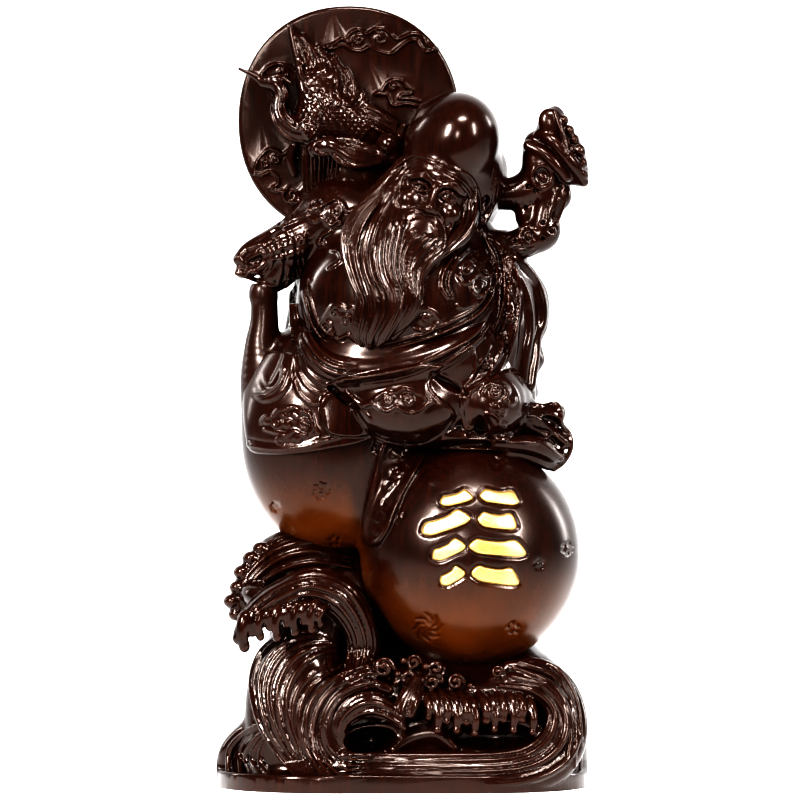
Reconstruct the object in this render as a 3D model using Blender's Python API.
"""A carved wooden figure of the old man of long life, seated on a gourd above breaking waves.

The figure is one solid. Its places are on a carving grid: x to the right, y to the back and z up, with zero at the
middle of the plinth's underside. The grid's z is read as one sees the figure from a little above, so the same z lies
lower the further back a place is.
"""

import math

import bmesh
import bpy
from mathutils import Euler, Matrix, Vector

# Driving sizes in metres
FIGURE_HEIGHT = 0.400
PLINTH_WIDTH = 0.192
PLINTH_DEPTH = 0.134
PLINTH_HEIGHT = 0.0093
PLINTH_CORNER = 0.057
DISC_WIDTH = 0.1142
DISC_HEIGHT = 0.1183
DISC_THICKNESS = 0.0077
STEM_MOUTH_WIDTH = 0.0127

# The carving grid
GRID_TOP = 790.0
GRID_SIDE = 187.0
GRID_FRONT = -130.0
GRID_LEAN = 0.07
DISC_BACK = 46.0
DISC_SQUARENESS = 2.15
UNIT_X = PLINTH_WIDTH / (2 * GRID_SIDE)
UNIT_Y = PLINTH_DEPTH / (-2 * GRID_FRONT)
UNIT_Z = FIGURE_HEIGHT / (GRID_TOP - GRID_LEAN * (DISC_BACK - GRID_FRONT))

# How finely the solid is worked
BLOCK_VOXEL = 2.9 * UNIT_Z
SMOOTHING_PASSES = 3
KEPT_SHARE = 0.030
SUNK_FOOT = 0.004
BALL_DETAIL = 3
LARGE_BALL = 40
LIMB_SIDES = 12
PATH_STEPS = 4
CAP_RINGS = 3
CAP_TURN = math.radians(84)
NEARLY_PARALLEL = 0.15
EDGE_STEPS = 4

WOOD_COLOUR = (0.030, 0.012, 0.007, 1.0)
WOOD_ROUGHNESS = 0.28


def place(x, y, z):
    """A point of the carving grid in metres."""
    return Vector((x * UNIT_X, y * UNIT_Y, (z - GRID_LEAN * (y - GRID_FRONT)) * UNIT_Z))


def smooth_path(points, steps, closed=False):
    """Points on a Catmull-Rom curve through the given ones, each a tuple of any length."""
    count = len(points)
    found = []
    for i in range(count if closed else count - 1):
        if closed:
            near = [points[(i + k) % count] for k in (-1, 0, 1, 2)]
        else:
            near = [points[min(max(i + k, 0), count - 1)] for k in (-1, 0, 1, 2)]
        for step in range(steps):
            t = step / steps
            weights = (
                -0.5 * t + t * t - 0.5 * t**3,
                1 - 2.5 * t * t + 1.5 * t**3,
                0.5 * t + 2 * t * t - 1.5 * t**3,
                -0.5 * t * t + 0.5 * t**3,
            )
            found.append(tuple(sum(w * p[axis] for w, p in zip(weights, near)) for axis in range(len(points[0]))))
    return found if closed else found + [tuple(points[-1])]


class Clay:
    """The overlapping closed shapes that the figure is worked from, with all places on the carving grid."""

    def __init__(self):
        self.mesh = bmesh.new()
        self.masses = []

    def blob(self, centre, radii, turn=(0, 0, 0)):
        """An ellipsoid, turned by degrees about x, y and z."""
        turned = Euler([math.radians(a) for a in turn]).to_matrix().to_4x4()
        shape = Matrix.Translation(centre) @ turned @ Matrix.Diagonal([*radii, 1.0])
        self.masses.append(shape.inverted())
        lean = Matrix.Identity(4)
        lean[2][1] = -GRID_LEAN
        lean[2][3] = GRID_LEAN * GRID_FRONT
        matrix = Matrix.Diagonal((UNIT_X, UNIT_Y, UNIT_Z, 1.0)) @ lean @ shape
        detail = BALL_DETAIL + 1 if max(radii) > LARGE_BALL else BALL_DETAIL
        bmesh.ops.create_icosphere(self.mesh, subdivisions=detail, radius=1.0, matrix=matrix)

    def surface(self, x, z, side):
        """The depth y of the foremost (side -1) or rearmost (side 1) mass at x and z, or None."""
        found = []
        for inverse in self.masses:
            start = inverse @ Vector((x, 0, z))
            along = inverse.to_3x3() @ Vector((0, 1, 0))
            a = along.length_squared
            b = start.dot(along)
            inside = b * b - a * (start.length_squared - 1)
            if inside > 0:
                found.append((-b + side * math.sqrt(inside)) / a)
        return side * max(side * y for y in found) if found else None

    def ridge(self, *points, side=-1, sink=0.35, flat=1.0):
        """A raised line through points (x, z, radius), laid on the masses' front or back."""
        path = smooth_path(points, PATH_STEPS)
        depths = [self.surface(x, z, side) for x, z, _ in path]
        known = [d for d in depths if d is not None]
        for i, depth in enumerate(depths):
            if depth is None:
                near = [d for d in depths[max(i - 3, 0) : i + 4] if d is not None] or known
                depths[i] = side * min(side * d for d in near)
        for _ in range(2):
            spans = [depths[max(i - 1, 0) : i + 2] for i in range(len(path))]
            depths = [sum(span) / len(span) for span in spans]
        self.limb(*((x, y - side * sink * r, z, r) for (x, z, r), y in zip(path, depths)), flat=flat, steps=1)

    def limb(self, *points, flat=1.0, steps=PATH_STEPS):
        """A round tube through points (x, y, z, radius), its depth times flat, with round ends."""
        path = smooth_path(points, steps)
        centres = [Vector(p[:3]) for p in path]
        radii = [p[3] for p in path]
        rings = []
        for i, (centre, radius) in enumerate(zip(centres, radii)):
            along = (centres[min(i + 1, len(path) - 1)] - centres[max(i - 1, 0)]).normalized()
            side = along.cross(Vector((0, 1, 0)))
            side = side.normalized() if side.length > NEARLY_PARALLEL else along.orthogonal().normalized()
            depth = side.cross(along).normalized() * flat
            tips = []
            if i in (0, len(path) - 1):
                sign = 1 if i else -1
                for step in range(1, CAP_RINGS + 1):
                    angle = CAP_TURN * step / CAP_RINGS
                    tips.append((centre + along * sign * radius * math.sin(angle), radius * math.cos(angle)))
            ring = [(centre, radius)]
            layers = tips[::-1] + ring if i == 0 else ring + tips
            rings += [(c, r, side, depth) for c, r in layers]
        loops = []
        for centre, radius, side, depth in rings:
            loop = []
            for k in range(LIMB_SIDES):
                angle = math.tau * k / LIMB_SIDES
                spot = centre + (side * math.cos(angle) + depth * math.sin(angle)) * radius
                loop.append(self.mesh.verts.new(place(*spot)))
            loops.append(loop)
        self.skin(loops)

    def slab(self, outline, front, back, edge=4.0, steps=PATH_STEPS, smooth=True):
        """An outline in the x-z plane, carried from front to back in y, with rounded edges."""
        flat = smooth_path(outline, steps, closed=True) if smooth else outline
        count = len(flat)
        pairs = list(zip(flat, flat[1:] + flat[:1]))
        area = sum(p[0] * q[1] - q[0] * p[1] for p, q in pairs)
        side = 1 if area > 0 else -1
        normals = []
        for i in range(count):
            dx = flat[(i + 1) % count][0] - flat[i - 1][0]
            dz = flat[(i + 1) % count][1] - flat[i - 1][1]
            length = math.hypot(dx, dz) or 1.0
            normals.append((dz / length * side, -dx / length * side))
        turns = [math.radians(90) * step / EDGE_STEPS for step in range(EDGE_STEPS + 1)]
        layers = [(front + edge * (1 - math.sin(a)), -edge * (1 - math.cos(a))) for a in reversed(turns)]
        layers += [(back - edge * (1 - math.sin(a)), -edge * (1 - math.cos(a))) for a in turns]
        loops = []
        for y, grow in layers:
            spots = [(p[0] + n[0] * grow, y, p[1] + n[1] * grow) for p, n in zip(flat, normals)]
            loops.append([self.mesh.verts.new(place(*spot)) for spot in spots])
        self.skin(loops)

    def skin(self, loops):
        """Closes a row of loops into one shell."""
        count = len(loops[0])
        for first, second in zip(loops, loops[1:]):
            for k in range(count):
                self.mesh.faces.new((first[k], first[(k + 1) % count], second[(k + 1) % count], second[k]))
        self.mesh.faces.new(loops[0][::-1])
        self.mesh.faces.new(loops[-1])

    def to_object(self, name):
        """The shapes as one object with their faces out."""
        bmesh.ops.recalc_face_normals(self.mesh, faces=self.mesh.faces)
        data = bpy.data.meshes.new(name)
        self.mesh.to_mesh(data)
        self.mesh.free()
        made = bpy.data.objects.new(name, data)
        bpy.context.collection.objects.link(made)
        return made


def plinth(clay):
    """The flat foot: a rounded block from a little below the ground, where it is cut off, to its own height."""
    outline = []
    half_width = PLINTH_WIDTH / 2
    half_depth = PLINTH_DEPTH / 2
    corner = min(PLINTH_CORNER, 0.48 * PLINTH_DEPTH)
    for k, (sx, sy) in enumerate(((1, 1), (-1, 1), (-1, -1), (1, -1))):
        for step in range(7):
            angle = math.radians(90 * k + 15 * step)
            x = sx * (half_width - corner) + corner * math.cos(angle)
            y = sy * (half_depth - corner) + corner * math.sin(angle)
            outline.append((x, y))
    edge = PLINTH_HEIGHT * 0.3
    layers = ((-SUNK_FOOT, 0.0), (PLINTH_HEIGHT - edge, 0.0), (PLINTH_HEIGHT, -edge))
    loops = []
    for z, grow in layers:
        shrink_x = 1 + grow / half_width
        shrink_y = 1 + grow / half_depth
        loops.append([clay.mesh.verts.new((x * shrink_x, y * shrink_y, z)) for x, y in outline])
    clay.skin(loops)


def waves(clay):
    """The sea: a core that carries the gourd, the tall breaking wave on the left and the rolling one on the right."""
    clay.slab(
        [(-130, 16), (-100, 6), (0, 4), (120, 4), (168, 5), (184, 14), (187, 30), (186, 54), (182, 80), (174, 102), (165, 119),
         (152, 134), (134, 142), (80, 138), (20, 134), (-50, 150), (-96, 150), (-124, 110), (-134, 60)],
        front=-78, back=106, edge=78,
    )
    clay.blob((-62, 34, 150), (72, 66, 104))
    clay.blob((60, 30, 106), (96, 70, 66))
    tall_wave(clay)
    back_crest(clay)
    side_mound(clay)
    rolling_wave(clay)
    back_swell(clay)


def tall_wave(clay):
    """The breaking wave at the left front, with the crest's row of drops."""
    clay.blob((-106, -50, 70), (50, 46, 96), (0, 6, 0))
    clay.limb((-96, -56, 6, 44), (-113, -50, 60, 40), (-116, -44, 104, 39), (-101, -38, 138, 37), (-78, -30, 178, 34))
    clay.limb((-140, -50, 146, 13), (-130, -52, 152, 14), (-124, -54, 168, 14))
    clay.limb((-50, -50, 112, 12), (-42, -54, 132, 14), (-42, -58, 160, 16), (-58, -64, 190, 20), (-86, -70, 202, 22),
              (-116, -76, 196, 20), (-142, -82, 182, 15), (-158, -88, 166, 10), (-163, -88, 155, 6))
    clay.blob((-136, -44, 190), (30, 34, 17), (0, 30, 0))
    for step, (drop, size) in enumerate(((20, 8), (12, 7), (24, 9), (14, 7), (18, 8))):
        x = -142 + 17 * step
        clay.limb((x + 8, -84, 186, 9), (x + 1, -94, 178, size), (x - 2, -96, 178 - drop, size - 1))
    flow = (
        ((-112, 8, 6), (-138, 46, 7), (-145, 90, 7), (-142, 132, 7)),
        ((-94, 6, 6), (-122, 42, 8), (-133, 84, 9), (-124, 124, 7), (-104, 150, 6), (-84, 172, 6)),
        ((-80, 6, 6), (-106, 38, 8), (-116, 78, 9), (-108, 110, 8), (-84, 136, 7), (-64, 160, 6), (-60, 184, 6)),
        ((-66, 8, 7), (-90, 34, 8), (-99, 72, 9), (-88, 102, 8), (-64, 124, 7), (-46, 142, 6)),
    )
    for line in flow:
        clay.ridge(*line, sink=0.5)


def back_crest(clay):
    """The second crest, behind the first one, with its drops against the sky."""
    clay.limb((-88, 14, 226, 40), (-116, 4, 232, 32), (-138, -8, 222, 23), (-154, -16, 204, 16), (-162, -20, 188, 11))
    for x, z in ((-148, 236), (-158, 223), (-165, 208), (-169, 193), (-166, 180)):
        clay.blob((x, -16, z), (9, 10, 8))


def side_mound(clay):
    """The low rock of water at the left end."""
    clay.blob((-149, 12, 22), (39, 74, 50))
    clay.blob((-140, 20, 50), (28, 52, 30))
    clay.limb((-176, -20, 20, 12), (-170, -34, 44, 12), (-154, -44, 62, 11), (-140, -50, 74, 8))


def rolling_wave(clay):
    """The long low wave along the front, curled at both ends round a hollow."""
    clay.limb((-74, -94, 12, 12), (-30, -109, 13, 12), (40, -114, 13, 12), (110, -110, 14, 12), (152, -94, 20, 13),
              (170, -74, 46, 13), (172, -64, 80, 13), (160, -60, 108, 13), (138, -62, 124, 12), (108, -68, 126, 9))
    clay.limb((-56, -98, 34, 10), (-10, -104, 33, 10), (60, -106, 33, 10), (112, -98, 36, 11), (142, -88, 50, 11),
              (152, -82, 74, 12), (145, -80, 96, 12), (122, -80, 106, 12), (92, -80, 104, 12), (62, -78, 98, 9))
    clay.limb((-60, -96, 14, 10), (-82, -92, 34, 10), (-88, -88, 64, 10), (-78, -86, 94, 10), (-54, -84, 114, 10),
              (-30, -80, 124, 8))
    clay.limb((-50, -94, 40, 8), (-66, -92, 54, 9), (-62, -90, 80, 14), (-40, -96, 88, 15), (-22, -102, 78, 11),
              (-8, -106, 68, 6))
    clay.limb((8, -84, 104, 9), (0, -98, 90, 8), (-2, -102, 72, 6))
    for step, (size, fall) in enumerate(((8, 0), (7, 5), (9, 2), (7, 6), (9, 0), (8, 4))):
        x = 36 + 17 * step
        clay.limb((x - 8, -80, 98, 8), (x, -98, 90, size), (x + 4, -102, 72 + fall, size - 2))
    for x, z, size in ((-26, 110, 9), (-8, 122, 10), (10, 112, 12), (30, 120, 9), (48, 108, 11), (66, 118, 9),
                       (88, 128, 9)):
        clay.blob((x, -78, z), (size + 1, 14, size))


def back_swell(clay):
    """The broader swells of the hidden side: long flows that climb from the foot and curl under the gourd."""
    flows = (
        ((-164, 66, 18, 13), (-140, 84, 48, 15), (-112, 84, 92, 15), (-92, 78, 140, 14), (-96, 64, 190, 11)),
        ((-130, 92, 14, 13), (-104, 104, 40, 16), (-74, 98, 84, 17), (-54, 90, 134, 15), (-60, 78, 186, 12),
         (-84, 62, 214, 9)),
        ((-84, 104, 14, 14), (-54, 110, 36, 17), (-24, 104, 74, 17), (-12, 94, 116, 15), (-28, 84, 160, 12)),
        ((-30, 108, 14, 14), (10, 108, 38, 17), (38, 100, 72, 17), (40, 88, 108, 14), (16, 80, 138, 11)),
        ((40, 106, 14, 14), (86, 98, 40, 17), (106, 86, 78, 16), (96, 76, 112, 13), (66, 68, 134, 10)),
        ((110, 96, 16, 14), (146, 74, 40, 16), (154, 58, 76, 16), (140, 48, 108, 14)),
    )
    for flow in flows:
        clay.limb(*flow)


def gourd(clay):
    """The gourd lying across the waves: the great bulb, the small one, the stem and the brocade tied at the waist."""
    clay.blob((68, -16, 241), (110, 102, 113))
    clay.blob((-71, 8, 362), (90, 80, 120))
    clay.blob((-10, -2, 300), (44, 56, 60), (0, 40, 0))
    clay.blob((-26, 30, 196), (60, 52, 44))
    clay.blob((30, 0, 346), (92, 78, 26))
    mouth = STEM_MOUTH_WIDTH / 2 / UNIT_X
    clay.limb((-138, -4, 500, mouth + 1), (-138, -4, 474, mouth + 3), (-139, -2, 446, mouth + 8),
              (-130, 2, 408, mouth + 20), (-110, 4, 376, mouth + 34))
    clay.limb((-139, -4, 499, mouth + 2.5), (-139, -4, 503, mouth + 2.5))
    clay.ridge((2, 346, 17), (-8, 318, 16), (-20, 288, 13), (-30, 262, 8), sink=0.1, flat=0.5)


def robe(clay):
    """The seated body under its robe, with the broad folds, the lobes over the gourd and the cloak behind."""
    clay.blob((-2, -16, 492), (104, 90, 88))
    clay.blob((0, 4, 556), (94, 62, 58))
    clay.blob((2, 30, 486), (107, 62, 116))
    clay.blob((2, -12, 436), (114, 86, 62))
    clay.blob((4, 0, 402), (120, 92, 56))
    clay.blob((-108, -4, 376), (46, 70, 38))
    clay.blob((84, -8, 392), (48, 78, 46))
    clay.blob((104, 0, 470), (26, 46, 92))
    clay.limb((98, 0, 540, 26), (110, 0, 490, 25), (108, -4, 430, 26), (108, -10, 392, 26))
    clay.slab(
        [(108, 536), (130, 527), (144, 508), (148, 488), (146, 468), (140, 452), (143, 434), (135, 418), (134, 396),
         (96, 392), (92, 500)],
        front=0, back=44, edge=12,
    )
    front_lobes(clay)
    hems(clay)
    right_flare(clay)
    cloak(clay)


def front_lobes(clay):
    """The cloth lobes that fall over the gourd between the knees, and the panel over the small bulb."""
    clay.blob((4, -62, 388), (46, 42, 34))
    clay.ridge((-46, 404, 8), (-42, 388, 8), (-34, 368, 7), (-18, 356, 6), (6, 353, 6), (30, 360, 6), (46, 376, 7),
               (38, 394, 7), (28, 408, 7))
    clay.ridge((-60, 400, 8), (-74, 386, 7), (-70, 368, 6), (-44, 364, 6))
    clay.ridge((52, 402, 8), (58, 384, 7), (64, 366, 6))
    clay.ridge((70, 366, 6), (76, 378, 6), (86, 376, 6), (94, 358, 6), (110, 362, 6), (114, 376, 5))
    clay.ridge((-112, 414, 5), (-132, 402, 5), (-148, 388, 5), (-152, 364, 5), (-144, 347, 6), (-104, 346, 6),
               (-72, 355, 6), (-76, 372, 5))


def hems(clay):
    """The long hems and collar folds that sweep from the right shoulder under the belly to the left side."""
    clay.ridge((84, 560, 5), (96, 530, 6), (91, 502, 6), (70, 476, 6), (32, 456, 6), (-10, 446, 6), (-46, 442, 6),
               (-74, 454, 6), (-92, 486, 6), (-98, 530, 5))
    clay.ridge((-102, 480, 9), (-88, 440, 11), (-62, 424, 11), (-20, 422, 10), (30, 436, 10), (70, 456, 10),
               (96, 486, 9), (106, 530, 8))
    clay.ridge((-104, 450, 6), (-88, 420, 7), (-62, 410, 7), (-30, 414, 6))
    clay.ridge((84, 458, 7), (54, 434, 7), (30, 422, 7), (26, 408, 7), (38, 396, 6), (50, 384, 5))
    clay.ridge((112, 530, 7), (116, 476, 8), (104, 436, 8), (82, 408, 7))
    clay.ridge((64, 550, 5), (46, 528, 5), (41, 508, 5), (48, 496, 4))


def right_flare(clay):
    """The cloth that flares out at the right end of the gourd."""
    clay.limb((104, -20, 380, 24), (132, -24, 374, 19), (150, -24, 376, 13), (154, -22, 382, 9))
    clay.limb((112, -16, 366, 18), (146, -16, 360, 16), (160, -12, 354, 12))
    clay.limb((96, -60, 352, 8), (128, -46, 350, 11), (152, -26, 344, 11), (158, -14, 338, 8))
    clay.limb((104, -50, 342, 9), (132, -34, 340, 10), (150, -20, 332, 8))


def cloak(clay):
    """The broad folds of the cloak down the back, gathered at the neck, and its hem over the gourd."""
    folds = (
        ((-58, 586, 10), (-88, 520, 16), (-102, 450, 16), (-112, 392, 12)),
        ((-34, 590, 9), (-56, 520, 17), (-66, 440, 19), (-72, 380, 14)),
        ((-6, 592, 9), (-18, 510, 16), (-24, 440, 19), (-24, 378, 15)),
        ((24, 588, 9), (22, 510, 16), (20, 440, 18), (26, 376, 15)),
        ((52, 584, 9), (60, 516, 16), (66, 440, 18), (74, 384, 14)),
        ((80, 566, 9), (98, 510, 14), (106, 440, 15), (110, 392, 12)),
    )
    for fold in folds:
        clay.ridge(*fold, side=1, sink=0.62)
    clay.ridge((-116, 386, 8), (-96, 366, 9), (-60, 358, 10), (-24, 364, 9), (20, 354, 10), (60, 362, 9),
               (104, 362, 9), (122, 380, 8), side=1, sink=0.5)


def sleeve(clay):
    """The raised sleeve at the left: shoulder, forearm and the open cuff that drops on the gourd's mouth."""
    clay.blob((-62, 6, 574), (46, 50, 44), (0, -20, 0))
    clay.limb((-66, 0, 578, 34), (-96, -4, 560, 28), (-120, -8, 547, 21), (-138, -10, 540, 16))
    clay.limb((-114, -2, 562, 13), (-138, -10, 553, 10), (-154, -14, 545, 8), (-163, -16, 536, 7))
    clay.limb((-126, -10, 540, 14), (-146, -14, 531, 11), (-160, -16, 524, 8))
    clay.limb((-116, -10, 552, 12), (-118, -12, 536, 14), (-128, -10, 522, 12), (-136, -6, 512, 9), (-137, -4, 504, 7))
    clay.blob((-140, -8, 540), (20, 14, 12), (0, -30, 0))
    clay.limb((-100, 0, 552, 18), (-97, 4, 532, 15), (-93, 8, 512, 12))
    clay.limb((-106, -4, 530, 8), (-112, -6, 519, 7), (-122, -6, 511, 6), (-132, -6, 506, 6))


def head(clay):
    """The tall bald head, tilted to the right, with its face, ear and hair."""
    clay.blob((49, -20, 647), (48, 54, 57), (0, 12, 0))
    clay.blob((64, 2, 614), (42, 48, 44))
    clay.blob((31, -50, 598), (40, 40, 44), (0, 19, 0))
    clay.limb((30, -84, 610, 5), (26, -90, 602, 6), (23, -93, 595, 8))
    clay.blob((12, -82, 592), (12, 8, 10))
    clay.blob((41, -80, 583), (12, 8, 10))
    clay.limb((0, -76, 615, 4), (12, -84, 618, 5), (22, -86, 612, 3))
    clay.limb((36, -85, 607, 3), (48, -82, 606, 5), (59, -70, 598, 4))
    clay.blob((85, -24, 588), (8, 12, 17), (0, 14, 0))
    clay.limb((82, 6, 630, 22), (80, 12, 600, 20), (72, 14, 574, 18))
    clay.blob((52, 6, 590), (36, 46, 44))


def beard(clay):
    """The long beard in its main locks, flowing over the belly."""
    clay.blob((-8, -42, 592), (28, 34, 34), (0, 20, 0))
    clay.limb((22, -76, 570, 34), (6, -88, 544, 38), (-12, -96, 516, 34), (-14, -100, 490, 32), (-18, -96, 468, 24),
              (-28, -90, 454, 12), flat=0.55)
    locks = (
        ((-10, -54, 618, 6), (-22, -60, 600, 8), (-44, -70, 574, 9), (-50, -84, 544, 8), (-42, -96, 514, 7),
         (-36, -102, 492, 7), (-42, -98, 468, 6), (-42, -90, 452, 4)),
        ((-6, -66, 590, 6), (-24, -80, 566, 8), (-34, -94, 538, 8), (-26, -106, 510, 8), (-22, -110, 486, 7),
         (-30, -104, 464, 6), (-34, -94, 450, 3)),
        ((2, -78, 566, 6), (-12, -96, 542, 8), (-14, -110, 512, 8), (-6, -114, 488, 8), (-14, -108, 466, 7),
         (-22, -98, 452, 3)),
        ((30, -88, 560, 6), (12, -100, 542, 8), (2, -110, 516, 8), (10, -112, 494, 8), (6, -108, 476, 7),
         (-8, -102, 460, 4)),
        ((70, -44, 600, 6), (70, -56, 574, 7), (56, -74, 556, 8), (30, -92, 542, 8), (16, -102, 522, 7)),
        ((40, -80, 574, 5), (42, -80, 560, 6), (24, -92, 550, 7)),
    )
    for lock in locks:
        clay.limb(*lock)


def disc(clay):
    """The sun disc behind the head, from its own sizes, leaning on the shoulder."""
    rise = DISC_HEIGHT / 2 / UNIT_Z
    width = DISC_WIDTH / 2 / UNIT_X
    middle = (-53, GRID_TOP - rise)
    outline = []
    for step in range(60):
        angle = math.tau * step / 60
        across, up = math.cos(angle), math.sin(angle)
        across = math.copysign(abs(across) ** (2 / DISC_SQUARENESS), across)
        up = math.copysign(abs(up) ** (2 / DISC_SQUARENESS), up)
        outline.append((middle[0] + width * across, middle[1] + rise * up))
    thickness = DISC_THICKNESS / UNIT_Y
    clay.slab(outline, front=DISC_BACK - thickness, back=DISC_BACK, edge=4, smooth=False)
    clay.limb((-86, 30, 586, 22), (-58, 28, 604, 28), (-20, 26, 618, 28), (20, 24, 634, 26), flat=0.9)
    clay.ridge((-96, 568, 10), (-60, 602, 12), (-10, 616, 12), (40, 604, 10), side=1, sink=0.3)


def crane(clay):
    """The crane in high relief on the disc: neck and beak, raised wing, feathered body, tail and plumes."""
    clay.limb((-162, 18, 727, 2), (-150, 18, 720, 4), (-138, 18, 714, 6), (-128, 18, 708, 7), (-124, 18, 694, 7),
              (-122, 18, 680, 9), (-112, 18, 668, 12), (-96, 18, 664, 15))
    clay.blob((-74, 18, 676), (36, 18, 26), (0, 20, 0))
    clay.blob((-48, 18, 666), (34, 16, 20), (0, 20, 0))
    clay.slab([(-112, 769), (-98, 752), (-78, 741), (-58, 726), (-44, 708), (-33, 692), (-50, 672), (-92, 676),
               (-98, 700), (-106, 740)], front=16, back=34, edge=4)
    clay.limb((-94, 12, 700, 8), (-84, 12, 714, 8), (-62, 12, 706, 8), (-46, 14, 690, 7))
    for step in range(6):
        t = step / 5
        clay.limb((-92 + 44 * t, 12, 704 - 22 * t, 4), (-100 + 56 * t, 14, 738 - 38 * t, 4),
                  (-109 + 70 * t, 18, 764 - 64 * t, 2))
    clay.limb((-36, 14, 672, 12), (-20, 14, 664, 10), (-8, 14, 660, 8))
    for step in range(5):
        clay.limb((-96 + 8 * step, 10, 655, 6), (-94 + 8 * step, 14, 630, 6), (-92 + 6 * step, 18, 598, 5))
    clay.blob((-66, 20, 640), (34, 16, 26))
    clay.limb((-86, 2, 646, 9), (-74, -4, 650, 9), (-62, -6, 644, 8), (-46, -8, 634, 7), (-24, -8, 634, 4))
    clay.limb((-78, 8, 646, 12), (-40, 4, 640, 12), (-8, 0, 640, 12))
    clay.blob((-12, -2, 651), (13, 14, 12), (0, 30, 0))
    clay.limb((-24, 0, 640, 6), (-4, 2, 656, 6), (2, 4, 668, 4))


def staff(clay):
    """The gnarled staff and raised arm at the right, with the staff's cap."""
    clay.limb((76, -6, 536, 24), (100, -8, 546, 17), (120, -10, 553, 15), (138, -10, 562, 15))
    clay.limb((126, -10, 554, 15), (142, -10, 562, 16), (143, -8, 578, 15), (147, -6, 596, 17), (140, -6, 616, 20),
              (138, -8, 636, 19), (135, -6, 652, 14))
    clay.limb((102, 0, 600, 15), (122, -2, 604, 20), (136, -4, 616, 18))
    clay.blob((108, 0, 604), (13, 20, 20))
    clay.blob((127, -4, 580), (14, 14, 15))
    clay.blob((162, -4, 598), (9, 12, 14))
    clay.slab([(135, 662), (137, 675), (145, 686), (155, 692), (163, 684), (167, 671), (178, 657), (186, 640),
               (188, 622), (186, 609), (172, 609), (158, 622), (148, 638)], front=-26, back=14, edge=10)
    clay.limb((136, -16, 652, 8), (150, -20, 642, 8), (166, -20, 622, 8), (178, -18, 615, 6))
    clay.blob((142, -22, 624), (12, 6, 14), (0, -20, 0))
    clay.blob((127, -24, 560), (9, 6, 11))


def wood_material():
    material = bpy.data.materials.new("dark_wood")
    material.use_nodes = True
    shader = material.node_tree.nodes["Principled BSDF"]
    shader.inputs["Base Color"].default_value = WOOD_COLOUR
    shader.inputs["Roughness"].default_value = WOOD_ROUGHNESS
    shader.inputs["Metallic"].default_value = 0.0
    return material


def ground_cutter():
    """A block whose top is the ground, which cuts the sunk foot off flat."""
    bpy.ops.mesh.primitive_cube_add(size=1.0)
    cutter = bpy.context.active_object
    cutter.name = "ground_cutter"
    span = 4 * max(PLINTH_WIDTH, PLINTH_DEPTH)
    cutter.data.transform(Matrix.Diagonal((span, span, span, 1.0)))
    cutter.data.transform(Matrix.Translation((0, 0, -span / 2)))
    cutter.hide_render = True
    cutter.display_type = "WIRE"
    return cutter


def figure():
    """The whole figure as one solid: its shapes fused, softened, thinned out and cut flat underneath."""
    clay = Clay()
    for carve in (plinth, waves, gourd, robe, sleeve, head, beard, disc, crane, staff):
        carve(clay)
    made = clay.to_object("shoulao_figure")
    fuse = made.modifiers.new("fuse", "REMESH")
    fuse.mode = "VOXEL"
    fuse.voxel_size = BLOCK_VOXEL
    soften = made.modifiers.new("soften", "SMOOTH")
    soften.factor = 0.5
    soften.iterations = SMOOTHING_PASSES
    thin_out = made.modifiers.new("thin_out", "DECIMATE")
    thin_out.ratio = KEPT_SHARE
    foot = made.modifiers.new("flat_foot", "BOOLEAN")
    foot.operation = "DIFFERENCE"
    foot.object = ground_cutter()
    made.data.materials.append(wood_material())
    return made


def main():
    for obj in list(bpy.data.objects):
        bpy.data.objects.remove(obj)
    figure()


main()
